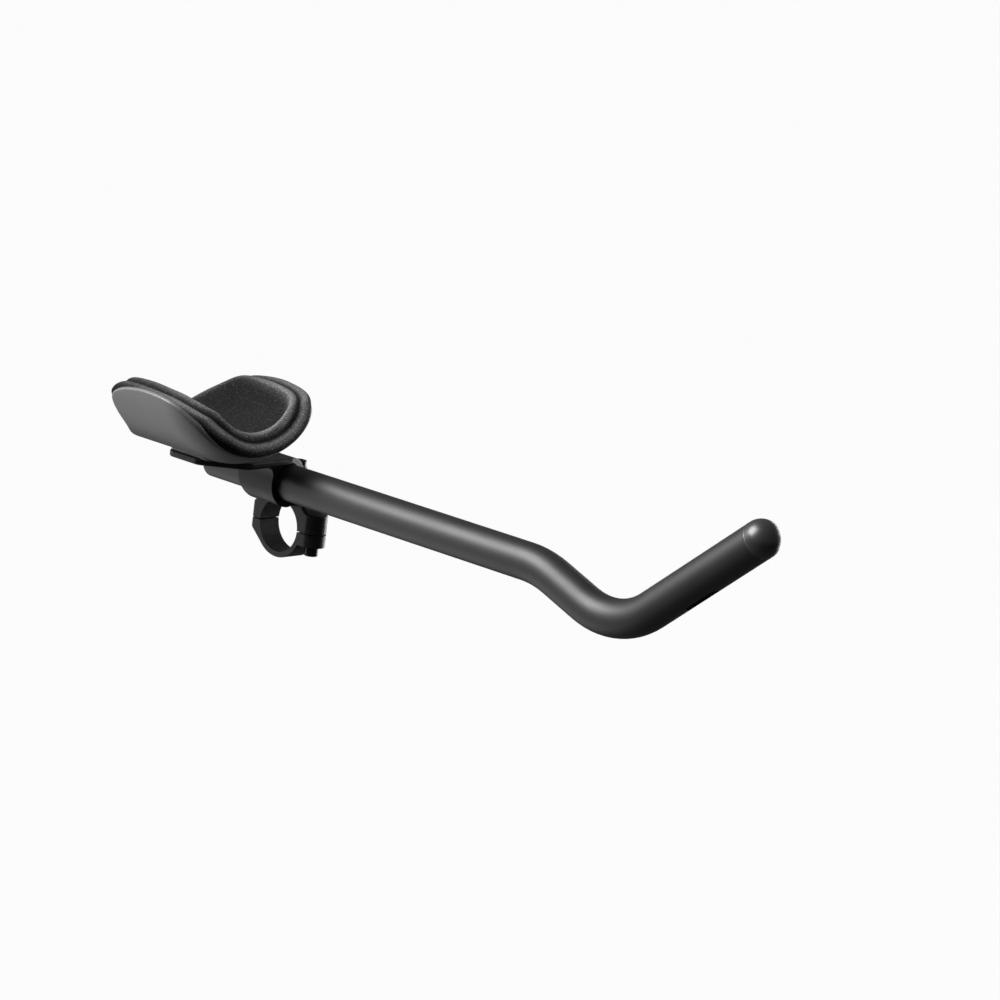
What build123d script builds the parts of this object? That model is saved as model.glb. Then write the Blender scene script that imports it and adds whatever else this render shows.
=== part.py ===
from build123d import *
from math import acos, asin, cos, degrees, radians, sin, sqrt, tan
import os

# Aero handlebar extension for the rider's right hand.
# Millimetres. Origin at the middle of the handlebar clamp's bore, +X forward,
# +Y towards the rider's left along the bore, +Z up. Outward is -Y.

# Handlebar clamp
bar_diameter = 31.8
clamp_width = 15.6
clamp_split_gap = 0.8
bar_relief = 0.4
cap_wall = 3.5
rear_lug_thickness = 7.8
rear_lug_height = 10.0
cap_lug_height = 5.0
lug_corner_radius = 2.2
tongue_length = 7.0
tongue_thickness = 3.0
tongue_height = 3.4
tongue_clearance = 0.2
bar_bolt_setback = 6.1
front_boss_height = 12.0
cap_boss_height = 7.5
cap_edge_radius = 0.6

# Extension tube
tube_diameter = 22.2
tube_wall = 2.0
tube_side_offset = 12.0
tube_height = 28.8
tube_rear_reach = 54.5
first_bend_x = 202.8
first_bend_angle = 20.0
first_bend_radius = 64.6
middle_run_length = 25.3
grip_angle = 40.0
second_bend_radius = 48.2
grip_length = 85.5
rear_notch_width = 1.6
rear_notch_length = 5.0
cable_slot_length = 25.0
cable_slot_width = 7.0
cable_slot_from_end = 50.0

# Tip plug
plug_rim = 2.0
plug_stem_length = 16.0
plug_stem_clearance = 0.1
plug_edge_radius = 0.4

# Sleeve of the bracket round the tube
tube_clearance = 0.05
sleeve_wall = 3.9
strap_wall = 3.45
sleeve_front_x = 10.0
sleeve_rear_x = -24.0
sleeve_rear_rake = 8.5
slit_width = 2.0
sleeve_edge_radius = 0.6
sleeve_mouth = 1.2
strap_blend = 6.0
web_front_x = 12.0
web_rear_rise = 11.0
web_rear_x = -11.0
web_corner_radius = 3.0
ledge_foot_x = 21.0
ledge_foot_blend = 6.0
web_edge_radius = 1.6
pinch_boss_rear_x = -8.0
pinch_boss_front_x = 7.0
pinch_boss_height = 4.8
pinch_boss_corner = 3.5
strap_waist = 2.0
pinch_bolt_x = 0.5
pinch_bolt_inset = 4.2

# Armrest plate, part of the bracket
plate_thickness = 4.0
plate_end_reach = 72.0
plate_rear_x = -37.0
plate_front_x = 13.0
plate_end_front_x = -8.0
plate_nose_reach = 50.0
plate_corner_radius = 6.0
plate_nose_radius = 10.0
plate_edge_radius = 1.0

# Fasteners
bolt_diameter = 5.0
bolt_head_diameter = 8.5
bar_bolt_head_height = 5.0
pinch_bolt_head_height = 4.0
bolt_head_edge = 0.6
hex_key = 4.0
hex_depth = 2.4
thread_clearance = 0.05
hole_clearance = 0.25
bolt_thread_engagement = 9.0
washer_diameter = 9.4
washer_thickness = 1.0
spotface_clearance = 0.4
screw_head_diameter = 9.6
screw_head_rim = 0.4
screw_seat_clearance = 0.05
screw_hex_key = 3.0
screw_hex_depth = 1.6

# Armrest shell: a trough about an axis along X
armrest_side_offset = 57.0
shell_outer_radius = 63.5
shell_wall = 3.0
shell_rim_height = 38.0
shell_rear_x = -62.0
shell_wing_rear_x = -44.0
shell_wing_height = 14.5
shell_wing_blend = 12.0
shell_rear_corner = 6.0
shell_curl_start_x = 5.0
shell_curl_radius = 36.0
shell_front_x = 24.5
shell_front_corner = 23.0
shell_lip_rise = 7.6
base_half_width = 14.0
base_rear_x = -35.0
base_front_x = 1.0
base_corner_radius = 5.0
screw_rear_x = -28.0
screw_front_x = -8.0

# Pad and its fastening patches
patch_thickness = 0.65
pad_thickness = 11.0
pad_dish_radius = 44.2
pad_rim_angle = 64.5
pad_rim_height = 43.9
pad_front_x = 30.0
pad_front_corner_height = 13.0
pad_front_shoulder_x = 3.0
pad_front_bulge = 4.0
pad_rear_x = -64.0
pad_tail_height = 19.0
pad_rear_rake_angle = 42.0
pad_rear_corner = 22.0
pad_wing_rear_x = -43.0
pad_wing_reach = 44.0
pad_tail_reach = 12.0
pad_lip_clearance = 0.3
side_patch_angle = 33.0
side_patch_span = 20.0
side_patch_rear_x = -42.0
side_patch_front_x = 2.0
middle_patch_span = 24.0
middle_patch_rear_x = -56.0
middle_patch_front_x = -36.0

# Worked out from the driving dimensions
bar_radius = bar_diameter / 2
half_clamp = clamp_width / 2
half_split = clamp_split_gap / 2
cap_radius = bar_radius + cap_wall
rear_lug_x = -(bar_radius + rear_lug_thickness)
bar_bolt_x = bar_radius + bar_bolt_setback
tongue_x = (rear_lug_x - bar_radius) / 2
tube_radius = tube_diameter / 2
tube_y = -tube_side_offset
tube_bore = tube_radius + tube_clearance
sleeve_radius = tube_bore + sleeve_wall
plate_top = tube_height + tube_bore + strap_wall
plate_bottom = plate_top - plate_thickness
slit_top = tube_height + slit_width / 2
slit_bottom = tube_height - slit_width / 2
pinch_seat = slit_top + pinch_boss_height
pinch_bolt_y = half_clamp - pinch_bolt_inset
shank_radius = bolt_diameter / 2
tapped_radius = shank_radius + thread_clearance
through_radius = shank_radius + hole_clearance
spotface_radius = washer_diameter / 2 + spotface_clearance
armrest_y = -armrest_side_offset
trough_z = plate_top + shell_outer_radius
shell_inner_radius = shell_outer_radius - shell_wall
lip_land_radius = shell_outer_radius - shell_lip_rise
floor_z = plate_top + shell_wall
pad_under_radius = shell_inner_radius - 2 * patch_thickness
dish_z = floor_z + 2 * patch_thickness + pad_thickness + pad_dish_radius
far = 200.0
pick = 0.1

os.makedirs("parts", exist_ok=True)


def write(piece, name):
    """Label a finished piece and write it under its name."""
    piece.part.label = name
    export_step(piece.part, "parts/" + name + ".step")


# Centre line of the tube: straight, a bend down, a bend up, the grip
down = radians(first_bend_angle)
up = radians(grip_angle)
first_reach = first_bend_radius * tan(down / 2)
second_reach = second_bend_radius * tan((down + up) / 2)
first_corner = (first_bend_x + first_reach, tube_height)
drop_length = first_reach + middle_run_length + second_reach
second_corner = (
    first_corner[0] + drop_length * cos(down),
    first_corner[1] - drop_length * sin(down),
)
grip_reach = second_reach + grip_length
grip_end = (
    second_corner[0] + grip_reach * cos(up),
    second_corner[1] + grip_reach * sin(up),
)
grip_direction = Vector(cos(up), 0, sin(up))
grip_end_point = Vector(grip_end[0], tube_y, grip_end[1])
tube_plane = Plane.XZ.offset(tube_side_offset)
with BuildLine(tube_plane) as tube_line:
    FilletPolyline(
        (-tube_rear_reach, tube_height),
        first_corner,
        second_corner,
        grip_end,
        radius=[first_bend_radius, second_bend_radius],
    )
tube_start = Plane.YZ.offset(-tube_rear_reach)

# Extension tube
slot_point = grip_end_point - grip_direction * cable_slot_from_end
slot_plane = Plane(
    origin=slot_point,
    x_dir=grip_direction,
    z_dir=Vector(sin(up), 0, -cos(up)),
)
with BuildPart() as extension_tube:
    with BuildSketch(tube_start):
        with Locations((tube_y, tube_height)):
            Circle(tube_radius)
            Circle(tube_radius - tube_wall, mode=Mode.SUBTRACT)
    sweep(path=tube_line.wire())
    with BuildSketch(slot_plane):
        SlotOverall(cable_slot_length, cable_slot_width)
    extrude(amount=tube_diameter, mode=Mode.SUBTRACT)
    with BuildSketch(Plane.XZ):
        with Locations((-tube_rear_reach, tube_height)):
            Rectangle(2 * rear_notch_length, rear_notch_width)
    extrude(amount=tube_side_offset, mode=Mode.SUBTRACT)
write(extension_tube, "extension_tube")

# Tip plug: a dome with a stem inside the tube
plug_plane = Plane(
    origin=grip_end_point,
    x_dir=grip_direction,
    z_dir=(0, -1, 0),
)
stem_radius = tube_radius - tube_wall - plug_stem_clearance
with BuildPart() as tip_plug:
    with BuildSketch(plug_plane):
        with BuildLine():
            Polyline(
                (plug_rim, tube_radius),
                (0, tube_radius),
                (0, stem_radius),
                (-plug_stem_length, stem_radius),
                (-plug_stem_length, 0),
                (plug_rim + tube_radius, 0),
            )
            CenterArc((plug_rim, 0), tube_radius, 0, 90)
        make_face()
    revolve(axis=Axis(grip_end_point, grip_direction))
    chamfer(tip_plug.edges().filter_by(GeomType.CIRCLE).sort_by(Axis.X)[0], plug_edge_radius)
write(tip_plug, "tip_plug")


def clamp_plan(plane):
    """Plan of either half of the handlebar clamp: square rear, round nose at the bolt."""
    with BuildSketch(plane) as plan:
        with BuildLine():
            FilletPolyline(
                (bar_bolt_x, half_clamp),
                (rear_lug_x, half_clamp),
                (rear_lug_x, -half_clamp),
                (bar_bolt_x, -half_clamp),
                radius=lug_corner_radius,
            )
            CenterArc((bar_bolt_x, 0), half_clamp, -90, 180)
        make_face()
    return plan.sketch


# Web of the bracket over the handlebar bore: rear lug, ledge and front boss
web_top = slit_bottom
nose_x = bar_bolt_x + half_clamp
with BuildPart() as web:
    extrude(clamp_plan(Plane.XY.offset(half_split)), amount=web_top - half_split)
    with BuildSketch(Plane.XZ):
        with BuildLine():
            FilletPolyline(
                (rear_lug_x, half_split),
                (rear_lug_x, rear_lug_height),
                (web_rear_x, rear_lug_height + web_rear_rise),
                (pinch_boss_rear_x, web_top),
                (web_front_x, web_top),
                (ledge_foot_x, front_boss_height),
                (nose_x, front_boss_height),
                (nose_x, half_split),
                radius=[
                    0,
                    web_corner_radius,
                    web_corner_radius,
                    web_corner_radius,
                    web_corner_radius,
                    ledge_foot_blend,
                    0,
                    0,
                ],
                close=True,
            )
        make_face()
    extrude(amount=half_clamp, both=True, mode=Mode.INTERSECT)
    rim = web.edges().filter_by(Axis.Z, reverse=True).filter_by(Axis.Y, reverse=True)
    fillet(rim.filter_by_position(Axis.Z, half_split + pick, far), web_edge_radius)

# Sleeve of the bracket with its pinch boss and the root of the plate
with BuildPart() as sleeve:
    with BuildSketch(Plane.YZ.offset(sleeve_rear_x)) as sleeve_section:
        with Locations((tube_y, tube_height)):
            Circle(sleeve_radius)
        with BuildLine():
            Polyline(
                (tube_y, plate_bottom),
                (-plate_nose_reach, plate_bottom),
                (-plate_nose_reach, plate_top),
                (tube_y, plate_top),
                close=True,
            )
        make_face()
        with BuildLine():
            Polyline(
                (tube_y, tube_height),
                (half_clamp, tube_height),
                (half_clamp, pinch_seat),
                (tube_y, pinch_seat),
                close=True,
            )
        make_face()
        corners = sleeve_section.vertices()
        under_plate = corners.filter_by_position(Axis.Y, plate_bottom - pick, plate_bottom + pick)
        over_boss = corners.filter_by_position(Axis.Y, pinch_seat - pick, pinch_seat + pick)
        fillet([under_plate.sort_by(Axis.X)[1], over_boss.sort_by(Axis.X)[-2]], strap_blend)
    extrude(amount=sleeve_front_x - sleeve_rear_x)
    # Flat top, and a rear edge that leans forward towards the bottom
    with BuildSketch(Plane.XZ):
        with BuildLine():
            Polyline(
                (sleeve_rear_x, plate_top),
                (sleeve_rear_x + sleeve_rear_rake, tube_height - sleeve_radius),
                (sleeve_front_x, tube_height - sleeve_radius),
                (sleeve_front_x, plate_top),
                close=True,
            )
        make_face()
    extrude(amount=far, both=True, mode=Mode.INTERSECT)
    # Plan of the strap, which narrows towards the pinch bolt
    with BuildSketch(Plane.XY):
        with BuildLine():
            FilletPolyline(
                (sleeve_rear_x, -far),
                (sleeve_rear_x, tube_y),
                (pinch_boss_rear_x, strap_waist),
                (pinch_boss_rear_x, half_clamp),
                (pinch_boss_front_x, half_clamp),
                (pinch_boss_front_x, strap_waist),
                (sleeve_front_x, tube_y),
                (sleeve_front_x, -far),
                radius=[0, *[pinch_boss_corner] * 6, 0],
                close=True,
            )
        make_face()
    extrude(amount=far, mode=Mode.INTERSECT)
    # Rounded edges of the strap, then of the sleeve's rear and front ends
    strap_rim = sleeve.edges().filter_by_position(Axis.Z, pinch_seat - pick, pinch_seat + pick)
    fillet(strap_rim.sort_by(Axis.Y)[-1], sleeve_edge_radius)
    fillet(sleeve.edges().filter_by(GeomType.ELLIPSE).sort_by(Axis.Y)[0], sleeve_edge_radius)
    fillet(sleeve.edges().filter_by(GeomType.CIRCLE).sort_by(Axis.Y)[0], sleeve_edge_radius)

# Armrest plate of the bracket
with BuildPart() as plate:
    with BuildSketch(Plane.XY.offset(plate_bottom)):
        with BuildLine():
            FilletPolyline(
                (sleeve_rear_x, tube_y),
                (plate_rear_x, -plate_end_reach),
                (plate_end_front_x, -plate_end_reach),
                (plate_front_x, -plate_nose_reach),
                (sleeve_front_x, tube_y),
                radius=[0, plate_corner_radius, plate_corner_radius, plate_nose_radius, 0],
                close=True,
            )
        make_face()
    extrude(amount=plate_thickness)
    rim = plate.edges().filter_by(Plane.XY)
    fillet(rim.filter_by_position(Axis.Y, -far, tube_y - pick), plate_edge_radius)

# Clamp bracket: web, sleeve and plate in one casting
with BuildPart() as clamp_bracket:
    add(web.part)
    add(sleeve.part)
    add(plate.part)
    # Bores of the tube and the handlebar, and the slit
    with BuildSketch(Plane.YZ.offset(-far)):
        with Locations((tube_y, tube_height)):
            Circle(tube_bore)
    extrude(amount=2 * far, mode=Mode.SUBTRACT)
    with BuildSketch(Plane.YZ.offset(-far)):
        with Locations((tube_y + far / 2, tube_height)):
            Rectangle(far, slit_width)
    extrude(amount=2 * far, mode=Mode.SUBTRACT)
    with BuildSketch(Plane.XZ.offset(-half_clamp)):
        Circle(bar_radius)
    extrude(amount=clamp_width, mode=Mode.SUBTRACT)
    with BuildSketch(Plane.XZ.offset(half_clamp)):
        Circle(bar_radius + bar_relief)
    extrude(amount=far, mode=Mode.SUBTRACT)
    # Flared mouth where the tube leaves the sleeve
    with BuildSketch(Plane.XZ.offset(tube_side_offset)):
        with BuildLine():
            Polyline(
                (sleeve_front_x, tube_height),
                (sleeve_front_x, tube_height + tube_bore + sleeve_mouth),
                (sleeve_front_x - sleeve_mouth, tube_height + tube_bore),
                (sleeve_front_x - sleeve_mouth, tube_height),
                close=True,
            )
        make_face()
    revolve(axis=Axis((0, tube_y, tube_height), (1, 0, 0)), mode=Mode.SUBTRACT)
    # Pinch bolt: seat, clearance hole in the strap and tapped hole in the web
    with BuildSketch(Plane.XY.offset(pinch_seat)):
        with Locations((pinch_bolt_x, pinch_bolt_y)):
            Circle(spotface_radius)
    extrude(amount=far, mode=Mode.SUBTRACT)
    with BuildSketch(Plane.XY.offset(tube_height)):
        with Locations((pinch_bolt_x, pinch_bolt_y)):
            Circle(through_radius)
    extrude(amount=pinch_boss_height + slit_width, mode=Mode.SUBTRACT)
    with BuildSketch(Plane.XY.offset(slit_bottom - bolt_thread_engagement - hole_clearance)):
        with Locations((pinch_bolt_x, pinch_bolt_y)):
            Circle(tapped_radius)
    extrude(amount=bolt_thread_engagement + slit_width, mode=Mode.SUBTRACT)
    # Handlebar bolt: blind tapped hole up into the front boss
    with BuildSketch(Plane.XY):
        with Locations((bar_bolt_x, 0)):
            Circle(tapped_radius)
    extrude(amount=half_split + bolt_thread_engagement + hole_clearance, mode=Mode.SUBTRACT)
    # Pocket for the cap's tongue
    with BuildSketch(Plane.XY):
        with Locations((tongue_x, 0)):
            Rectangle(
                tongue_thickness + 2 * tongue_clearance,
                tongue_length + 2 * tongue_clearance,
            )
    extrude(amount=tongue_height + tongue_clearance, mode=Mode.SUBTRACT)
    # Tapped holes for the armrest screws
    with BuildSketch(Plane.XY.offset(plate_bottom)):
        with Locations((screw_rear_x, armrest_y), (screw_front_x, armrest_y)):
            Circle(tapped_radius)
    extrude(amount=plate_thickness, mode=Mode.SUBTRACT)
write(clamp_bracket, "clamp_bracket")

# Handlebar cap: lower half of the clamp
with BuildPart() as handlebar_cap:
    chamfer_tangent = cap_radius * sqrt(2)
    with BuildSketch(Plane.XZ) as cap_profile:
        Circle(cap_radius)
        with BuildLine():
            Polyline(
                (rear_lug_x, 0),
                (rear_lug_x, -cap_lug_height),
                (-chamfer_tangent / 2, -chamfer_tangent / 2),
                (0, 0),
                close=True,
            )
        make_face()
        with BuildLine():
            Polyline(
                (0, 0),
                (0, -half_split - cap_boss_height),
                (nose_x, -half_split - cap_boss_height),
                (nose_x, 0),
                close=True,
            )
        make_face()
    extrude(amount=half_clamp, both=True)
    extrude(clamp_plan(Plane.XY), amount=-far, mode=Mode.INTERSECT)
    with BuildSketch(Plane.XZ):
        Circle(bar_radius)
    extrude(amount=far, both=True, mode=Mode.SUBTRACT)
    with BuildSketch(Plane.XY.offset(-half_split)):
        Rectangle(far, far)
    extrude(amount=far, mode=Mode.SUBTRACT)
    # Seat for the bolt head, open to the front
    with BuildSketch(Plane.XY.offset(-half_split - cap_boss_height)):
        with Locations((bar_bolt_x, 0)):
            Circle(spotface_radius)
    extrude(amount=-far, mode=Mode.SUBTRACT)
    with BuildSketch(Plane.XY):
        with Locations((bar_bolt_x, 0)):
            Circle(through_radius)
    extrude(amount=-far, mode=Mode.SUBTRACT)
    outer_arcs = handlebar_cap.edges().filter_by(GeomType.CIRCLE).filter_by(
        lambda edge: abs(edge.radius - cap_radius) < pick
    )
    fillet(outer_arcs, cap_edge_radius)
    # Tongue that hooks into the bracket
    with BuildSketch(Plane.XY.offset(-half_split)):
        with Locations((tongue_x, 0)):
            Rectangle(tongue_thickness, tongue_length)
    extrude(amount=half_split + tongue_height)
write(handlebar_cap, "handlebar_cap")


def socket_bolt(seat, head_height, shank_length):
    """Socket head bolt: head on the seat plane, shank against the plane's normal."""
    with BuildPart() as bolt:
        with BuildSketch(seat):
            Circle(bolt_head_diameter / 2)
        extrude(amount=head_height)
        crown = bolt.edges().filter_by(GeomType.CIRCLE)
        fillet(crown.sort_by(Axis(seat.origin, seat.z_dir))[-1], bolt_head_edge)
        with BuildSketch(seat):
            Circle(shank_radius)
        extrude(amount=-shank_length)
        with BuildSketch(seat.offset(head_height)):
            RegularPolygon(hex_key / 2, 6, major_radius=False)
        extrude(amount=-hex_depth, mode=Mode.SUBTRACT)
    return bolt


def flat_washer(seat):
    """Flat washer standing on the seat plane."""
    with BuildPart() as washer:
        with BuildSketch(seat):
            Circle(washer_diameter / 2)
            Circle(through_radius, mode=Mode.SUBTRACT)
        extrude(amount=washer_thickness)
    return washer


# Pinch bolt and its washer, from above
pinch_plane = Plane(origin=(pinch_bolt_x, pinch_bolt_y, pinch_seat), z_dir=(0, 0, 1))
pinch_length = washer_thickness + pinch_boss_height + slit_width + bolt_thread_engagement
write(flat_washer(pinch_plane), "pinch_bolt_washer")
write(
    socket_bolt(pinch_plane.offset(washer_thickness), pinch_bolt_head_height, pinch_length),
    "pinch_bolt",
)

# Handlebar bolt and its washer, from below
bar_bolt_plane = Plane(
    origin=(bar_bolt_x, 0, -half_split - cap_boss_height),
    z_dir=(0, 0, -1),
)
bar_bolt_length = washer_thickness + cap_boss_height + clamp_split_gap + bolt_thread_engagement
write(flat_washer(bar_bolt_plane), "handlebar_bolt_washer")
write(
    socket_bolt(bar_bolt_plane.offset(washer_thickness), bar_bolt_head_height, bar_bolt_length),
    "handlebar_bolt",
)

# Armrest shell: a wall turned about the trough's axis, trimmed to its side outline
trough_axis = Axis((0, armrest_y, trough_z), (1, 0, 0))
side_plane = Plane(origin=(0, armrest_y, trough_z), x_dir=(1, 0, 0), z_dir=(0, -1, 0))
turn_plane = Plane(origin=(0, armrest_y, trough_z), x_dir=(1, 0, 0), z_dir=(0, 0, -1))
curl_centre_radius = shell_outer_radius - shell_curl_radius
curl_inner_radius = shell_curl_radius - shell_wall
curl_angle = degrees(asin((shell_front_x + shell_wall - shell_curl_start_x) / shell_curl_radius))
with BuildPart() as armrest_shell:
    with BuildSketch(turn_plane):
        with BuildLine():
            Line((shell_rear_x, shell_outer_radius), (shell_curl_start_x, shell_outer_radius))
            outer_curl = CenterArc(
                (shell_curl_start_x, curl_centre_radius), shell_curl_radius, 90, -curl_angle
            )
            inner_curl = CenterArc(
                (shell_curl_start_x, curl_centre_radius), curl_inner_radius, 90, -curl_angle
            )
            Line(outer_curl @ 1, inner_curl @ 1)
            Polyline(
                (shell_curl_start_x, shell_inner_radius),
                (shell_rear_x, shell_inner_radius),
                (shell_rear_x, shell_outer_radius),
            )
        make_face()
    revolve(axis=trough_axis, revolution_arc=180)
    # Flat foot under the trough
    with BuildSketch(Plane.XY.offset(plate_top)) as foot:
        with Locations(((base_rear_x + base_front_x) / 2, armrest_y)):
            RectangleRounded(base_front_x - base_rear_x, 2 * base_half_width, base_corner_radius)
    extrude(amount=shell_wall)
    # The lip ends on a land that the pad's edge lies over
    with BuildSketch(Plane.YZ.offset(shell_curl_start_x)):
        with Locations((armrest_y, trough_z)):
            Circle(lip_land_radius)
    extrude(amount=far, mode=Mode.SUBTRACT)
    with BuildSketch(side_plane):
        with BuildLine():
            FilletPolyline(
                (shell_rear_x, -far),
                (shell_rear_x, -shell_outer_radius),
                (shell_wing_rear_x, shell_wing_height - shell_outer_radius),
                (shell_wing_rear_x, shell_rim_height - shell_outer_radius),
                (shell_front_x, shell_rim_height - shell_outer_radius),
                (shell_front_x, -far),
                radius=[0, 0, shell_wing_blend, shell_rear_corner, shell_front_corner, 0],
                close=True,
            )
        make_face()
    extrude(amount=far, both=True, mode=Mode.INTERSECT)
    with Locations(
        Location((screw_rear_x, armrest_y, floor_z)),
        Location((screw_front_x, armrest_y, floor_z)),
    ):
        CounterSinkHole(through_radius, screw_head_diameter / 2 + screw_seat_clearance)
write(armrest_shell, "armrest_shell")


def countersunk_screw(screw_x):
    """Countersunk screw through the shell's floor into the plate."""
    head_top = Plane(origin=(screw_x, armrest_y, floor_z - screw_head_rim), z_dir=(0, 0, 1))
    head_radius = screw_head_diameter / 2 - screw_head_rim
    head_depth = head_radius - shank_radius
    with BuildPart() as screw:
        with BuildSketch(head_top):
            Circle(head_radius)
        with BuildSketch(head_top.offset(-head_depth)):
            Circle(shank_radius)
        loft()
        with BuildSketch(head_top.offset(-head_depth)):
            Circle(shank_radius)
        extrude(amount=plate_bottom - floor_z + screw_head_rim + head_depth + hole_clearance)
        with BuildSketch(head_top):
            RegularPolygon(screw_hex_key / 2, 6, major_radius=False)
        extrude(amount=-screw_hex_depth, mode=Mode.SUBTRACT)
    return screw


write(countersunk_screw(screw_rear_x), "armrest_screw_rear")
write(countersunk_screw(screw_front_x), "armrest_screw_front")


def curved_patch(top_radius, rear_x, front_x, mid_angle, span):
    """Strip of sheet on the trough: its radius, its ends along X and its arc."""
    start = turn_plane.rotated((90 + mid_angle - span / 2, 0, 0))
    with BuildPart() as patch:
        with BuildSketch(start):
            with BuildLine():
                Polyline(
                    (rear_x, top_radius),
                    (front_x, top_radius),
                    (front_x, top_radius + patch_thickness),
                    (rear_x, top_radius + patch_thickness),
                    close=True,
                )
            make_face()
        revolve(axis=trough_axis, revolution_arc=span)
    return patch


# Hook patches lie on the shell, loop patches on the pad's underside
side_strip = (side_patch_rear_x, side_patch_front_x)
middle_strip = (middle_patch_rear_x, middle_patch_front_x)
for place, strip, mid_angle, span in (
    ("outer", side_strip, -side_patch_angle, side_patch_span),
    ("middle", middle_strip, 0, middle_patch_span),
    ("inner", side_strip, side_patch_angle, side_patch_span),
):
    hook_radius = shell_inner_radius - patch_thickness
    write(curved_patch(hook_radius, *strip, mid_angle, span), "hook_patch_" + place)
    write(curved_patch(pad_under_radius, *strip, mid_angle, span), "loop_patch_" + place)

# Arm pad: follows the shell's wall below and is hollowed above, with its rims square to the wall
pad_curl_radius = curl_inner_radius - 2 * patch_thickness
pad_edge_under = lip_land_radius - pad_lip_clearance
curl_end_angle = degrees(acos((pad_edge_under - curl_centre_radius) / pad_curl_radius))
rear_rake = tan(radians(pad_rear_rake_angle))
pad_rim = pad_rim_height - shell_outer_radius
pad_tail = pad_tail_height - shell_outer_radius
pad_front_corner = pad_front_corner_height - shell_outer_radius
pad_top_rear_x = pad_rear_x + (pad_rim - pad_tail) / rear_rake
with BuildPart() as arm_pad:
    with BuildSketch(turn_plane.rotated((90 - pad_rim_angle, 0, 0))):
        with BuildLine():
            Line((-far, pad_under_radius), (shell_curl_start_x, pad_under_radius))
            under_curl = CenterArc(
                (shell_curl_start_x, curl_centre_radius), pad_curl_radius, 90, -curl_end_angle
            )
            Polyline(
                under_curl @ 1,
                (pad_front_x, pad_edge_under),
                (pad_front_x, 0),
                (-far, 0),
                (-far, pad_under_radius),
            )
        make_face()
    revolve(axis=trough_axis, revolution_arc=2 * pad_rim_angle)
    with BuildSketch(Plane.YZ.offset(-far)):
        with Locations((armrest_y, dish_z)):
            Circle(pad_dish_radius)
    extrude(amount=2 * far, mode=Mode.SUBTRACT)
    with BuildSketch(side_plane):
        with BuildLine():
            FilletPolyline(
                (pad_front_shoulder_x, pad_rim),
                (pad_top_rear_x, pad_rim),
                (pad_rear_x, pad_tail),
                (pad_rear_x, -far),
                (pad_front_x, -far),
                (pad_front_x, pad_front_corner),
                radius=[pad_rear_corner, pad_rear_corner, 0, 0],
            )
            ThreePointArc(
                (pad_front_x, pad_front_corner),
                (
                    (pad_front_x + pad_front_shoulder_x) / 2 + pad_front_bulge,
                    (pad_front_corner + pad_rim) / 2 + pad_front_bulge,
                ),
                (pad_front_shoulder_x, pad_rim),
            )
        make_face()
    extrude(amount=far, both=True, mode=Mode.INTERSECT)
    # The outer rear corner is cut off behind the shell's wing
    with BuildSketch(Plane.XY):
        with BuildLine():
            FilletPolyline(
                (pad_wing_rear_x, -far),
                (pad_wing_rear_x, armrest_y - pad_wing_reach),
                (pad_rear_x, armrest_y - pad_tail_reach),
                (pad_rear_x, far),
                (far, far),
                (far, -far),
                radius=[0, pad_rear_corner, pad_rear_corner, 0, 0, 0],
                close=True,
            )
        make_face()
    extrude(amount=far, mode=Mode.INTERSECT)
write(arm_pad, "arm_pad")
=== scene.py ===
"""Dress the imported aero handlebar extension.

The CAD parts get their finishes. The moulded arm pad, the shell with its crowned rim, the
tube's bare edge and the printed reach scale are built here, and so are light and camera.
"""
import logging
import math
from dataclasses import dataclass
from enum import Enum
from typing import Mapping, Optional, Sequence, Union

import bmesh
import bpy
import numpy as np
from mathutils import Matrix


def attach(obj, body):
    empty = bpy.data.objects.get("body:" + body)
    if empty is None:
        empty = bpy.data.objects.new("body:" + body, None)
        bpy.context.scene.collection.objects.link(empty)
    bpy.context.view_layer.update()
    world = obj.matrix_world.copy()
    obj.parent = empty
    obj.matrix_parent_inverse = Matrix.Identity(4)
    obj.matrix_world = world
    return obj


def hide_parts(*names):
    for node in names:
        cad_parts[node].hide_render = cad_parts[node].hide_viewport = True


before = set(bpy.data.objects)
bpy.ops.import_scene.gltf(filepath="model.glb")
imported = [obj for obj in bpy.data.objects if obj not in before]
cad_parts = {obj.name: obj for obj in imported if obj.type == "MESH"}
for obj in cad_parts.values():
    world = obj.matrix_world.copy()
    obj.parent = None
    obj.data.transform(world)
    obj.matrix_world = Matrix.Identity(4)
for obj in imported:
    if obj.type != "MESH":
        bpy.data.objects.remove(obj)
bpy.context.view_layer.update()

MM = 0.001
TINY = 1e-9
UPRIGHT = (0.0, 0.0, 1.0)
EVEN_SCALE = (1.0, 1.0, 1.0)
NOISE_MEAN = 0.5
NOISE_ROUGHNESS = 0.55
# A Mix node's sockets for colours come after those for numbers and vectors
MIX_SHARE, MIX_FIRST, MIX_SECOND, MIX_RESULT = 0, 6, 7, 2
BRACKET, EXTENSION = "bracket", "extension"
Array = np.ndarray
Colour = tuple[float, float, float, float]
Faces = list[tuple[int, ...]]
Span = tuple[float, float]
Point = tuple[float, float, float]
log = logging.getLogger("handlebar_extension")


class Ray(Enum):
    """Rays that the studio tells apart, by their names in Light Path."""

    CAMERA = "Is Camera Ray"
    GLOSSY = "Is Glossy Ray"
    TRANSMISSION = "Is Transmission Ray"


def grey(level: float, warmth: float = 0.0) -> Colour:
    """Near-neutral colour of one level, a touch warmer or cooler."""
    return (level * (1 + warmth), level, level * (1 - warmth), 1.0)


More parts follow.
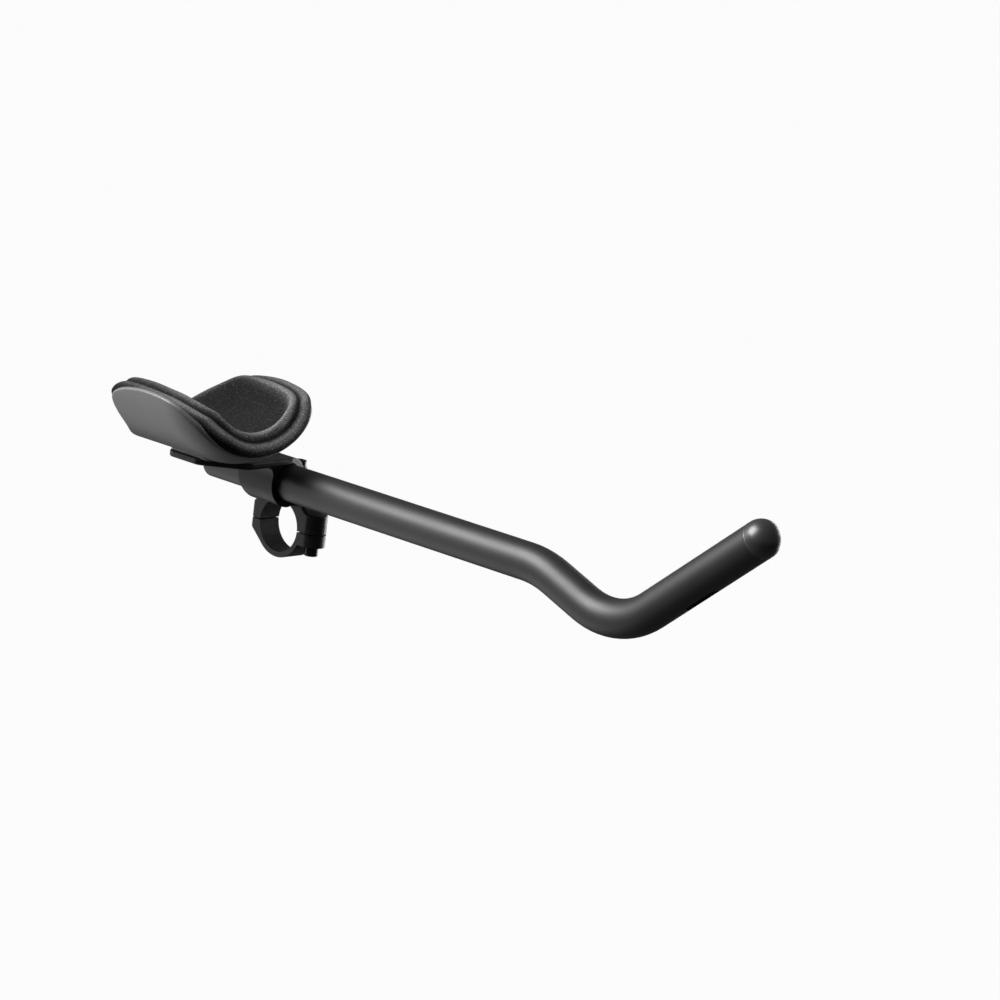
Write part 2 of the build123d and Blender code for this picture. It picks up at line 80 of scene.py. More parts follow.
class Wire:
    """Shader output that takes part in Python expressions."""

    def __init__(self, sheet: "FinishSheet", socket: bpy.types.NodeSocket) -> None:
        """Keep the sheet that owns the socket."""
        self.sheet = sheet
        self.socket = socket

    def __add__(self, other: "Value") -> "Wire":
        """Sum of two values."""
        return self.sheet.maths("ADD", self, other)

    __radd__ = __add__

    def __sub__(self, other: "Value") -> "Wire":
        """Difference of two values."""
        return self.sheet.maths("SUBTRACT", self, other)

    def __rsub__(self, other: "Value") -> "Wire":
        """Plain number less this value."""
        return self.sheet.maths("SUBTRACT", other, self)

    def __mul__(self, other: "Value") -> "Wire":
        """Product of two values."""
        return self.sheet.maths("MULTIPLY", self, other)

    __rmul__ = __mul__


Value = Union[Wire, float]


class FinishSheet:
    """Node tree of one finish, filled by node() and by expressions on wires."""

    def __init__(self, tree: bpy.types.NodeTree) -> None:
        """Start from an empty tree."""
        self.tree = tree
        self.tree.nodes.clear()

    def node(
        self,
        kind: str,
        settings: Optional[Mapping[str, object]] = None,
        sockets: Optional[Mapping[Union[str, int], object]] = None,
        output: Union[str, int] = 0,
    ) -> Wire:
        """Add one node.

        Args:
            kind: Node type.
            settings: Properties of the node, set before its sockets.
            sockets: Values or wires for its inputs, by name or number.
            output: Output to hand back, by name or number.

        Returns:
            The chosen output.
        """
        made = self.tree.nodes.new(kind)
        for name, value in (settings or {}).items():
            setattr(made, name, value)
        for key, value in (sockets or {}).items():
            if isinstance(value, Wire):
                self.tree.links.new(value.socket, made.inputs[key])
            else:
                made.inputs[key].default_value = value
        return Wire(self, made.outputs[output])

    def maths(self, operation: str, first: Value, second: Value) -> Wire:
        """Math node on two values."""
        return self.node("ShaderNodeMath", {"operation": operation}, {0: first, 1: second})

    def larger(self, first: Value, second: Value) -> Wire:
        """Larger of two values."""
        return self.maths("MAXIMUM", first, second)

    def spot(self) -> Wire:
        """Object coordinates in metres."""
        return self.node("ShaderNodeTexCoord", output="Object")

    def place(self, scale: Sequence[float] = EVEN_SCALE) -> Wire:
        """Object coordinates in metres, stretched by a scale."""
        sockets = {0: self.spot(), 1: tuple(scale)}
        return self.node("ShaderNodeVectorMath", {"operation": "MULTIPLY"}, sockets)

    def noise(
        self, per_metre: float, detail: float = 2.0, scale: Sequence[float] = EVEN_SCALE
    ) -> Wire:
        """Noise with so many waves in a metre.

        Args:
            per_metre: Waves in a metre.
            detail: Octaves of finer noise.
            scale: Stretch of the pattern along each axis.

        Returns:
            Noise between 0 and 1.
        """
        sockets = {
            "Vector": self.place(scale),
            "Scale": per_metre,
            "Detail": detail,
            "Roughness": NOISE_ROUGHNESS,
        }
        return self.node("ShaderNodeTexNoise", sockets=sockets, output="Fac")

    def swing(self, noise: Wire, reach: float) -> Wire:
        """Noise moved to lie about zero and scaled by a reach."""
        return reach * (noise - NOISE_MEAN)

    def step(self, value: Wire, low: float, high: float) -> Wire:
        """Smooth step from 0 at low to 1 at high."""
        sockets = {"Value": value, "From Min": low, "From Max": high}
        return self.node("ShaderNodeMapRange", {"interpolation_type": "SMOOTHSTEP"}, sockets)

    def blend(self, share: Value, first: Union[Wire, Colour], second: Union[Wire, Colour]) -> Wire:
        """Colour between two colours, by a share."""
        sockets = {MIX_SHARE: share, MIX_FIRST: first, MIX_SECOND: second}
        return self.node("ShaderNodeMix", {"data_type": "RGBA"}, sockets, MIX_RESULT)

    def bump(self, height: Wire, depth_mm: float, strength: float) -> Wire:
        """Surface normal of a height pattern of a given depth in millimetres."""
        sockets = {"Strength": strength, "Distance": depth_mm * MM, "Height": height}
        return self.node("ShaderNodeBump", sockets=sockets)

    def ray(self, kind: Ray) -> Wire:
        """1 for rays of one kind, otherwise 0."""
        return self.node("ShaderNodeLightPath", output=kind.value)

    def mirrored(self) -> Wire:
        """1 for glossy and transmission rays, otherwise 0."""
        return self.larger(self.ray(Ray.GLOSSY), self.ray(Ray.TRANSMISSION))

    def close(self, shader: Wire, kind: str = "ShaderNodeOutputMaterial") -> None:
        """Link a shader to the tree's output."""
        end = self.tree.nodes.new(kind)
        self.tree.links.new(shader.socket, end.inputs["Surface"])


@dataclass(frozen=True)
class Finish:
    """Base of every finish: a tone with flecks, a gloss and a relief.

    Ground and flecks are shares of the tone, and the relief's depth is in millimetres.
    """

    name: str
    tone: float
    roughness: float
    specular: float = 0.5
    ground: float = 1.0
    fleck: float = 1.0
    fleck_warmth: float = 0.0
    relief: float = 0.03
    relief_strength: float = 0.5

    def draw(self, sheet: FinishSheet) -> None:
        """Lay the finish's nodes out on a sheet."""
        raise NotImplementedError

    def tones(self, sheet: FinishSheet, share: Wire) -> Wire:
        """Colour between the ground and the flecks, by a share."""
        flecks = grey(self.tone * self.fleck, self.fleck_warmth)
        return sheet.blend(share, grey(self.tone * self.ground), flecks)

    def lay(
        self,
        sheet: FinishSheet,
        colour: Wire,
        gloss: Wire,
        height: Optional[Wire] = None,
        others: Optional[Mapping[str, float]] = None,
    ) -> None:
        """End a sheet in a Principled shader.

        Args:
            sheet: Sheet to end.
            colour: Base colour.
            gloss: Roughness.
            height: Pattern of the relief, where there is one.
            others: Plain values of further sockets.
        """
        sockets = {"Base Color": colour, "Roughness": gloss, "Specular IOR Level": self.specular}
        sockets.update(others or {})
        if height is not None:
            sockets["Normal"] = sheet.bump(height, self.relief, self.relief_strength)
        sheet.close(sheet.node("ShaderNodeBsdfPrincipled", sockets=sockets))

    def material(self) -> bpy.types.Material:
        """Material of this finish, made once.

        Returns:
            The material, new or from an earlier call.
        """
        made = bpy.data.materials.get(self.name)
        if made is None:
            made = bpy.data.materials.new(self.name)
            made.use_nodes = True
            self.draw(FinishSheet(made.node_tree))
        return made


@dataclass(frozen=True)
class AnodisedTube(Finish):
    """Black anodised alloy: drawn grain along the tube and a faint cloudiness."""

    ground: float = 0.75
    fleck: float = 1.3
    fleck_warmth: float = -0.02
    grain_per_metre: float = 60.0
    grain_squeeze: Point = (1.0, 34.0, 34.0)
    grain_gloss: float = 0.07
    cloud_per_metre: float = 35.0
    cloud_gloss: float = 0.08
    pits_per_metre: float = 2600.0
    pits_share: float = 0.6
    relief: float = 0.012
    relief_strength: float = 0.12

    def draw(self, sheet: FinishSheet) -> None:
        """Grain from noise squeezed across the tube, cloud from slow noise, pits from fine noise.

        Args:
            sheet: Sheet to fill.
        """
        grain = sheet.noise(self.grain_per_metre, detail=3.0, scale=self.grain_squeeze)
        cloud = sheet.noise(self.cloud_per_metre)
        pits = sheet.noise(self.pits_per_metre, detail=1.0)
        gloss = self.roughness + sheet.swing(grain, self.grain_gloss)
        gloss = gloss + sheet.swing(cloud, self.cloud_gloss)
        self.lay(sheet, self.tones(sheet, cloud), gloss, grain + self.pits_share * pits)


@dataclass(frozen=True)
class MouldedPlastic(Finish):
    """Spark-textured black moulding with slow unevenness of its gloss."""

    ground: float = 0.8
    fleck: float = 1.25
    texture_per_metre: float = 2200.0
    texture_gloss: float = 0.06
    patch_per_metre: float = 40.0
    patch_gloss: float = 0.10

    def draw(self, sheet: FinishSheet) -> None:
        """Fine noise for the tool's texture, slow noise for its gloss.

        Args:
            sheet: Sheet to fill.
        """
        fine = sheet.noise(self.texture_per_metre)
        slow = sheet.noise(self.patch_per_metre)
        gloss = self.roughness + sheet.swing(slow, self.patch_gloss)
        gloss = gloss + sheet.swing(fine, self.texture_gloss)
        self.lay(sheet, self.tones(sheet, fine), gloss, fine)


@dataclass(frozen=True)
class CastCoating(Finish):
    """Satin black coating on a casting: orange peel, speckle and rubbed patches."""

    ground: float = 0.8
    fleck: float = 1.2
    peel_per_metre: float = 620.0
    peel_gloss: float = 0.10
    speck_per_metre: float = 3000.0
    speck_share: float = 0.4
    rubbed_per_metre: float = 75.0
    rubbed_range: Span = (0.52, 0.75)
    rubbed_share: float = 0.5
    rubbed_tone: float = 1.5
    rubbed_gloss: float = 0.07
    relief: float = 0.035
    relief_strength: float = 0.6

    def draw(self, sheet: FinishSheet) -> None:
        """Peel from medium noise, speckle from fine noise, rubbing from slow noise.

        Args:
            sheet: Sheet to fill.
        """
        peel = sheet.noise(self.peel_per_metre)
        speck = sheet.noise(self.speck_per_metre, detail=1.0)
        rubbed = sheet.step(sheet.noise(self.rubbed_per_metre, detail=3.0), *self.rubbed_range)
        wear_and_painted_light = grey(self.tone * self.rubbed_tone)
        colour = sheet.blend(self.rubbed_share * rubbed, self.tones(sheet, speck), wear_and_painted_light)
        gloss = self.roughness - self.rubbed_gloss * rubbed + sheet.swing(peel, self.peel_gloss)
        self.lay(sheet, colour, gloss, peel + self.speck_share * speck)


@dataclass(frozen=True)
class OxideSteel(Finish):
    """Black oxide on steel, rubbed through to brighter metal in small patches."""

    fleck: float = 2.6
    fleck_warmth: float = 0.02
    metallic: float = 0.75
    worn_per_metre: float = 420.0
    worn_range: Span = (0.56, 0.78)
    worn_gloss: float = 0.06
    turned_per_metre: float = 2600.0
    turned_gloss: float = 0.12
    relief: float = 0.01

    def draw(self, sheet: FinishSheet) -> None:
        """Patches from medium noise, turning marks from fine noise.

        Args:
            sheet: Sheet to fill.
        """
        wear_and_painted_light = sheet.step(sheet.noise(self.worn_per_metre, detail=3.0), *self.worn_range)
        fine = sheet.noise(self.turned_per_metre)
        gloss = self.roughness + sheet.swing(fine, self.turned_gloss) - self.worn_gloss * wear_and_painted_light
        self.lay(sheet, self.tones(sheet, wear_and_painted_light), gloss, fine, {"Metallic": self.metallic})


@dataclass(frozen=True)
class PileTape(Finish):
    """Hook or loop tape: a dark pile of small tufts."""

    ground: float = 0.5
    fleck: float = 1.6
    tufts_per_metre: float = 900.0
    fibres_per_metre: float = 4200.0
    fibre_gloss: float = 0.15
    sheen: float = 0.2
    relief: float = 0.4
    relief_strength: float = 0.8

    def draw(self, sheet: FinishSheet) -> None:
        """Tufts from cells, fibres from fine noise.

        Args:
            sheet: Sheet to fill.
        """
        sockets = {"Vector": sheet.place(), "Scale": self.tufts_per_metre}
        cells = sheet.node("ShaderNodeTexVoronoi", {"feature": "F1"}, sockets, "Distance")
        fibre = sheet.noise(self.fibres_per_metre)
        gloss = self.roughness - self.fibre_gloss * fibre
        sheen = {"Sheen Weight": self.sheen}
        self.lay(sheet, self.tones(sheet, fibre), gloss, fibre - cells, sheen)


@dataclass(frozen=True)
class PadCloth(Finish):
    """Brushed black knit on foam: light fibre ends on a dark ground, with a painted highlight on
    the rolls' crests and painted shade in their groove.
    """

    ground: float = 0.7
    fleck: float = 6.0
    # Tone of the painted highlight on the crests, and its ground and flecks as shares of it
    crest_light_tone: float = 0.23
    crest_light_ground: float = 0.45
    crest_light_fleck: float = 1.9
    ends_per_metre: float = 1250.0
    ends_range: Span = (0.50, 0.72)
    ends_share: float = 0.85
    ends_gloss: float = 0.08
    knit_per_metre: float = 3400.0
    knit_share: float = 0.15
    knit_height: float = 0.6
    patch_per_metre: float = 60.0
    patch_gloss: float = 0.10
    sheen: float = 0.02
    sheen_roughness: float = 0.6
    relief: float = 0.16
    relief_strength: float = 0.7

    def draw(self, sheet: FinishSheet) -> None:
        """Fibre ends from fine noise, knit from finer noise, painted crest highlight and groove
        shade from an attribute.

        Args:
            sheet: Sheet to fill.
        """
        painted_roll_light = sheet.node("ShaderNodeAttribute", {"attribute_name": "painted_roll_light"}, output="Fac")
        ends = sheet.step(sheet.noise(self.ends_per_metre, detail=3.0), *self.ends_range)
        knit = sheet.noise(self.knit_per_metre)
        patch = sheet.noise(self.patch_per_metre)
        # Ground and flecks turn lighter where the attribute paints a highlight on the crests,
        # darker in the groove
        ground, tips = (
            sheet.blend(painted_roll_light, grey(self.tone * unlit), grey(self.crest_light_tone * crest_lit))
            for unlit, crest_lit in (
                (self.ground, self.crest_light_ground), (self.fleck, self.crest_light_fleck)
            )
        )
        colour = sheet.blend(self.ends_share * ends + self.knit_share * knit, ground, tips)
        gloss = self.roughness + sheet.swing(patch, self.patch_gloss) - self.ends_gloss * ends
        sheen = {"Sheen Weight": self.sheen, "Sheen Roughness": self.sheen_roughness}
        self.lay(sheet, colour, gloss, ends + self.knit_height * knit, sheen)


@dataclass(frozen=True)
class PrintInk(Finish):
    """White screen print, a little thin and uneven."""

    fleck: float = 0.55
    thin_per_metre: float = 1800.0
    thin_range: Span = (0.62, 0.8)
    thin_gloss: float = 0.1

    def draw(self, sheet: FinishSheet) -> None:
        """Thin spots from fine noise.

        Args:
            sheet: Sheet to fill.
        """
        thin = sheet.step(sheet.noise(self.thin_per_metre), *self.thin_range)
        self.lay(sheet, self.tones(sheet, thin), self.roughness + self.thin_gloss * thin)


TUBE_FINISH = AnodisedTube("tube_anodised_black", tone=0.012, roughness=0.47, specular=0.8)
PLUG_FINISH = MouldedPlastic(
    "plug_moulded_black", tone=0.032, roughness=0.37, specular=1.0,
    texture_per_metre=1500.0, relief=0.015,
)
CAST_FINISH = CastCoating("bracket_satin_coat", tone=0.010, roughness=0.40, specular=0.36)
BOLT_FINISH = OxideSteel("bolt_black_oxide", tone=0.028, roughness=0.28)
SHELL_FINISH = MouldedPlastic("shell_satin_moulding", tone=0.14, roughness=0.42, specular=0.9)
HOOK_FINISH = PileTape(
    "hook_tape_pile", tone=0.020, roughness=1.0, specular=0.2, tufts_per_metre=700.0
)
LOOP_FINISH = PileTape(
    "loop_tape_pile", tone=0.026, roughness=1.0, specular=0.2, tufts_per_metre=1100.0
)
PAD_FINISH = PadCloth("pad_brushed_knit", tone=0.0045, roughness=0.90, specular=0.06)
EDGE_FINISH = OxideSteel("tube_bare_edge", tone=0.16, roughness=0.30)
INK_FINISH = PrintInk("scale_white_ink", tone=0.72, roughness=0.55, specular=0.3)

NODE_FINISHES: dict[Finish, tuple[str, ...]] = {
    TUBE_FINISH: ("extension_tube",),
    PLUG_FINISH: ("tip_plug",),
    CAST_FINISH: ("clamp_bracket", "handlebar_cap"),
    BOLT_FINISH: (
        "handlebar_bolt", "handlebar_bolt_washer", "pinch_bolt", "pinch_bolt_washer",
        "armrest_screw_front", "armrest_screw_rear",
    ),
    HOOK_FINISH: ("hook_patch_outer", "hook_patch_middle", "hook_patch_inner"),
    LOOP_FINISH: ("loop_patch_outer", "loop_patch_middle", "loop_patch_inner"),
}


def dress_nodes() -> None:
    """Give every CAD node that stays its own finish."""
    for finish, names in NODE_FINISHES.items():
        for name in names:
            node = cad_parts[name]
            for slot in node.material_slots:
                slot.material = finish.material()
            log.info("dressed %s with %s", name, finish.name)


def smooth_curve(points: Array, count: int, closed: bool) -> Array:
    """Catmull-Rom curve through points.

    On each span p(u) = (2 p1 + (p2 - p0) u + (2 p0 - 5 p1 + 4 p2 - p3) u^2
    + (3 p1 - p0 - 3 p2 + p3) u^3) / 2.

    Args:
        points: Points to pass through, one row each.
        count: Points of the curve.
        closed: Whether the curve returns to its first point.

    Returns:
        Points of the curve, one row each.
    """
    known = len(points)
    spans = known if closed else known - 1
    spot = np.arange(count) * (spans / count if closed else spans / (count - 1))
    first = np.minimum(np.floor(spot).astype(int), spans - 1)
    u = (spot - first)[:, None]
    wrap = (lambda i: i % known) if closed else (lambda i: np.clip(i, 0, known - 1))
    p0, p1, p2, p3 = (points[wrap(first + k)] for k in (-1, 0, 1, 2))
    curve = 2 * p1 + (p2 - p0) * u + (2 * p0 - 5 * p1 + 4 * p2 - p3) * u**2
    return (curve + (3 * p1 - p0 - 3 * p2 + p3) * u**3) / 2


def smooth_step(value: Array, start: float, end: float) -> Array:
    """Smooth step t^2 (3 - 2 t) from 0 at start to 1 at end."""
    share = np.clip((value - start) / (end - start), 0.0, 1.0)
    return share**2 * (3 - 2 * share)


def grid_faces(
    rows: int,
    columns: int,
    loop_rows: bool = False,
    loop_columns: bool = False,
    turned: bool = False,
) -> Faces:
    """Quads between the neighbours of a grid of points, numbered row by row.

    The quad at (r, c) has the corners (r, c), (r, c + 1), (r + 1, c + 1) and (r + 1, c).

    Args:
        rows: Rows of points.
        columns: Points in a row.
        loop_rows: Whether the last row joins the first.
        loop_columns: Whether a row's last point joins its first.
        turned: Whether the quads face the other way.

    Returns:
        Corner numbers of each quad.
    """
    row, column = np.meshgrid(
        np.arange(rows if loop_rows else rows - 1),
        np.arange(columns if loop_columns else columns - 1),
        indexing="ij",
    )
    next_row, next_column = (row + 1) % rows, (column + 1) % columns
    corners = [(row, column), (row, next_column), (next_row, next_column), (next_row, column)]
    if turned:
        corners[1], corners[3] = corners[3], corners[1]
    quads = np.stack([r * columns + c for r, c in corners], axis=-1).reshape(-1, 4)
    return [tuple(quad) for quad in quads.tolist()]


def ring_faces(rings: int, count: int) -> Faces:
    """Quads between closed rings of points, and one face over each end ring.

    Args:
        rings: Number of rings.
        count: Points in a ring.

    Returns:
        Corner numbers of each face.
    """
    last = (rings - 1) * count
    caps = [tuple(range(count))[::-1], tuple(range(last, last + count))]
    return grid_faces(rings, count, loop_columns=True) + caps


def mesh_object(name: str, points_mm: Array, faces: Sequence[Sequence[int]]) -> bpy.types.Object:
    """Smooth-shaded object at the origin.

    Args:
        name: Name of the piece.
        points_mm: Points in millimetres, one row each.
        faces: Corner numbers of each face.

    Returns:
        The object, linked to the scene.
    """
    mesh = bpy.data.meshes.new(name)
    mesh.from_pydata((points_mm * MM).tolist(), [], faces)
    mesh.polygons.foreach_set("use_smooth", np.ones(len(mesh.polygons), dtype=bool))
    mesh.update()
    made = bpy.data.objects.new(name, mesh)
    bpy.context.scene.collection.objects.link(made)
    return made


def settle(piece: bpy.types.Object, body: str, finish: Finish) -> None:
    """Ride a new piece on a body and give it its finish.

    Args:
        piece: New piece.
        body: CAD body that it moves with.
        finish: Finish of its surface.
    """
    piece.data.materials.append(finish.material())
    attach(piece, body)
    log.info("%s rides on %s", piece.name, body)


def standing(right: Array, up: Array, back: Array, place: Sequence[float]) -> Matrix:
    """Matrix that sets an object at a place with its own axes along these.

    Args:
        right, up, back: Directions of its X, Y and Z axes.
        place: Place in metres.

    Returns:
        The matrix.
    """
    turn = np.eye(4)
    turn[:3] = np.stack([right, up, back, np.array(place)], axis=1)
    return Matrix(turn.tolist())


@dataclass
class TroughPiece:
    """Piece in the armrest's trough: a section carried round an edge in the developed surface."""

    axis_y: float = -57.0
    axis_z: float = 106.9
    developed_radius: float = 59.2
    middle_x: float = -16.0
    curl_start: float = 5.0
    # Width of the section behind the first x, as a share of its width in front of the second
    rear_width: float = 1.0
    width_x: Span = (-50.0, -5.0)
    least_reach: float = 0.7
    # Part of the edge's points, on each side, that a point's reach is averaged over: 1 in so many
    reach_window: int = 30
    # Edge as (x in mm, angle from straight down in degrees), outer side negative
    outline: tuple[Span, ...] = ()
    # Rows of the section, from below to above: inset and share of the way to the middle come first
    section: tuple[tuple[float, ...], ...] = ()

    def spread(self, rings: int, count: int) -> tuple[Array, Array, Array]:
        """Grid of section and edge in the developed surface.

        A point lies at q = exp(-inset / reach) (1 - share) of the way from the piece's middle
        to its edge. The inset is the section's times a width, which eases from the rear width
        to 1 towards the front, plus the lean. The reach is the middle's distance from the
        edge's tangent, kept off zero and averaged over its neighbours.

        Args:
            rings: Points along the section.
            count: Points round the edge.

        Returns:
            x in mm and angle in radians, each shaped (rings, count), and the
            section's other columns, shaped (columns, rings, 1).
        """
        place = np.array(self.outline)
        place[:, 1] = np.radians(place[:, 1]) * self.developed_radius
        place = smooth_curve(place, count, True)
        edge = place - (self.middle_x, 0.0)
        along = np.roll(edge, -1, axis=0) - np.roll(edge, 1, axis=0)
        along /= np.linalg.norm(along, axis=1)[:, None]
        reach = np.abs(edge[:, 0] * along[:, 1] - edge[:, 1] * along[:, 0])
        reach = np.maximum(reach, self.least_reach * np.linalg.norm(edge, axis=1))
        window = count // self.reach_window
        reach = np.mean([np.roll(reach, shift) for shift in range(-window, window + 1)], axis=0)
        columns = smooth_curve(np.array(self.section), rings, False).T[..., None]
        forward = smooth_step(place[:, 0], *self.width_x)
        width = self.rear_width + (1 - self.rear_width) * forward
        inset = columns[0] * width + self.lean(columns, place)
        q = np.exp(-inset / reach) * (1 - columns[1])
        return self.middle_x + edge[:, 0] * q, edge[:, 1] * q / self.developed_radius, columns[2:]

    def lean(self, columns: Array, edge: Array) -> Array:
        """Inset in mm that is added to the section's own at each row and each point of the edge."""
        return np.zeros((columns.shape[1], len(edge)))

    def curled(self, x: Array, radius: float, curl_radius: float) -> Array:
        """Radius of a wall, level up to the curl's start and then on an arc that turns inwards."""
        past = np.clip(x - self.curl_start, 0.0, curl_radius)
        return radius - curl_radius + np.sqrt(curl_radius**2 - past**2)

    def on_trough(self, x: Array, angle: Array, radius: Array) -> Array:
        """Points at x, at an angle from straight down and at a radius about the trough's axis."""
        y, z = self.axis_y + radius * np.sin(angle), self.axis_z - radius * np.cos(angle)
        return np.stack([x, y, z], axis=-1)


@dataclass
class ArmPad(TroughPiece):
    """Foam pad with a knit face: two rolls round its edge, a groove between them and a dish."""

    rear_width: float = 0.55
    curl_radius: float = 31.7
    lip_radius: float = 55.6
    dish_radius: float = 44.2
    dish_drop: float = 4.0
    thickness: float = 11.0
    # Painted light on the rolls rises from its least share at the rear to all of it at the front
    painted_light_least: float = 0.35
    painted_light_rear_x: float = -35.0
    painted_light_front_x: float = 15.0
    # Lean of the rolls on the outer side, in mm: the lower one, then the upper one, front and rear
    lean_low: float = 2.0
    lean_high: float = -2.0
    lean_rear: float = 1.0
    lean_x: Span = (-50.0, -18.0)
    lean_heights: Span = (6.5, 11.0)
    lean_insets: Span = (9.0, 20.0)
    lean_angles: Span = (-28.0, -52.0)
    outline: tuple[Span, ...] = (
        (30.0, 0.0), (29.8, 22.0), (28.2, 38.0), (23.0, 53.5), (12.5, 64.0), (-6.0, 68.0),
        (-23.0, 67.5), (-37.0, 63.5), (-48.8, 52.5), (-58.2, 40.0), (-63.2, 26.0), (-64.0, 8.0),
        (-61.5, -14.0), (-52.5, -34.0), (-48.8, -48.0), (-50.9, -57.0), (-49.2, -63.6),
        (-38.0, -66.6), (-11.0, -66.2), (8.5, -62.6), (20.8, -52.6), (27.4, -38.0), (29.8, -22.0),
    )
    # Inset, share of the way to the middle, height, dish share, painted light: highlight on the
    # crests, shade in the groove
    section: tuple[tuple[float, ...], ...] = (
        (22.0, 0.98, 0.0, 0.0, 0.2), (22.0, 0.66, 0.0, 0.0, 0.2), (22.0, 0.33, 0.0, 0.0, 0.2),
        (22.0, 0.0, 0.0, 0.0, 0.2), (12.0, 0.0, 0.0, 0.0, 0.2), (5.0, 0.0, 0.0, 0.0, 0.1),
        (2.4, 0.0, 0.15, 0.0, 0.0), (0.7, 0.0, 1.4, 0.0, 0.05), (0.0, 0.0, 3.4, 0.0, 0.4),
        (0.5, 0.0, 5.2, 0.0, 1.0), (1.7, 0.0, 6.8, 0.0, 0.9), (3.4, 0.0, 7.7, 0.0, 0.35),
        (4.7, 0.0, 8.4, 0.0, 0.05), (5.2, 0.0, 9.6, 0.0, 0.3), (5.6, 0.0, 11.1, 0.0, 0.8),
        (6.7, 0.0, 12.7, 0.0, 1.0), (8.7, 0.0, 13.5, 0.0, 1.0), (11.2, 0.0, 13.3, 0.1, 0.7),
        (14.2, 0.0, 12.5, 0.45, 0.3), (17.6, 0.0, 11.6, 0.85, 0.1), (22.0, 0.0, 11.0, 1.0, 0.05),
        (22.0, 0.25, 11.0, 1.0, 0.05), (22.0, 0.5, 11.0, 1.0, 0.05), (22.0, 0.75, 11.0, 1.0, 0.05),
        (22.0, 0.98, 11.0, 1.0, 0.05),
    )
    fine_rings: int = 150
    fine_count: int = 320
    # Cloth that swells under the foam's pressure, held below a height
    coarse_rings: int = 60
    coarse_count: int = 96
    held_height: float = 3.0
    cloth_quality: int = 6
    cloth_mass: float = 0.3
    cloth_stretch: float = 25.0
    cloth_bend: float = 4.0
    foam_pressure: float = 4.0
    swell_frames: int = 20
    swell_cap: float = 1.0

    def lean(self, columns: Array, edge: Array) -> Array:
        """Inset added on the outer side, where the lower roll steps in and the upper one out.

        Each share is a smooth step: by the row's height, by its own inset, by the edge's
        angle and, for the upper roll, by the edge's x.

        Args:
            columns: Columns of the section, shaped (columns, rings, 1).
            edge: Points of the edge in the developed surface, in mm, one row each.

        Returns:
            Inset in mm, shaped (rings, points of the edge).
        """
        rise = smooth_step(columns[2], *self.lean_heights)
        kept = 1 - smooth_step(columns[0], *self.lean_insets)
        outer = smooth_step(np.degrees(edge[:, 1] / self.developed_radius), *self.lean_angles)
        front = smooth_step(edge[:, 0], *self.lean_x)
        high = self.lean_rear + (self.lean_high - self.lean_rear) * front
        return (self.lean_low + (high - self.lean_low) * rise) * kept * outer

    def surface(self, rings: int, count: int) -> tuple[Array, Array, Array]:
        """Closed surface of the pad.

        Its radius about the trough's axis is the underside's less the height, turning into
        the dish's by the dish share, where the dish is a cylinder set lower than the trough.

        Args:
            rings: Points along the section.
            count: Points round the edge.

        Returns:
            Points in mm, shaped (rings, count, 3), the height of each ring, and the painted
            light of each point (highlight on the crests, shade in the groove), which rises towards
            the front.
        """
        x, angle, (height, dish, painted_roll_light) = self.spread(rings, count)
        under = np.maximum(self.curled(x, self.developed_radius, self.curl_radius), self.lip_radius)
        hollow = self.dish_drop * np.cos(angle) + np.sqrt(
            self.dish_radius**2 - (self.dish_drop * np.sin(angle)) ** 2
        )
        stretch = (self.developed_radius - hollow) / self.thickness
        above = np.maximum(height - self.thickness, 0.0)
        raised = np.minimum(height, self.thickness) * stretch + above
        radius = (1 - dish) * (under - raised) + dish * hollow
        # Painted light is strongest at the front, where the lamp falls on the crests
        forward = (x - self.painted_light_rear_x) / (self.painted_light_front_x - self.painted_light_rear_x)
        share = self.painted_light_least + (1 - self.painted_light_least) * np.clip(forward, 0.0, 1.0)
        return self.on_trough(x, angle, radius), height[:, 0], painted_roll_light * share

    def swelling(self) -> Array:
        """Cloth simulation of a coarse copy under the foam's pressure, held below.

        Returns:
            Displacement in mm of each coarse point, capped, shaped as the coarse grid.
        """
        points, height, _ = self.surface(self.coarse_rings, self.coarse_count)
        flat = points.reshape(-1, 3)
        copy = mesh_object("pad_copy", flat, ring_faces(self.coarse_rings, self.coarse_count))
        held = copy.vertex_groups.new(name="held")
        low = np.nonzero(np.repeat(height < self.held_height, self.coarse_count))[0]
        held.add(low.tolist(), 1.0, "REPLACE")
        cloth = copy.modifiers.new("swell", "CLOTH")
        settings = {
            "quality": self.cloth_quality,
            "mass": self.cloth_mass,
            "tension_stiffness": self.cloth_stretch,
            "compression_stiffness": self.cloth_stretch,
            "bending_stiffness": self.cloth_bend,
            "use_pressure": True,
            "uniform_pressure_force": self.foam_pressure,
            "vertex_group_mass": held.name,
        }
        for name, value in settings.items():
            setattr(cloth.settings, name, value)
        cloth.settings.effector_weights.gravity = 0.0
        scene = bpy.context.scene
        for number in range(1, self.swell_frames + 1):
            scene.frame_set(number)
        solved = copy.evaluated_get(bpy.context.evaluated_depsgraph_get()).to_mesh()
        moved = np.empty(flat.size, dtype=np.float32)
        solved.vertices.foreach_get("co", moved)
        scene.frame_set(1)
        bpy.data.objects.remove(copy)
        shift = moved.reshape(-1, 3) / MM - flat
        length = np.linalg.norm(shift, axis=1)[:, None]
        log.info("pad swelling: mean %.2f mm, most %.2f mm", length.mean(), length.max())
        share = np.minimum(1.0, self.swell_cap / np.maximum(length, TINY))
        return (shift * share).reshape(points.shape)

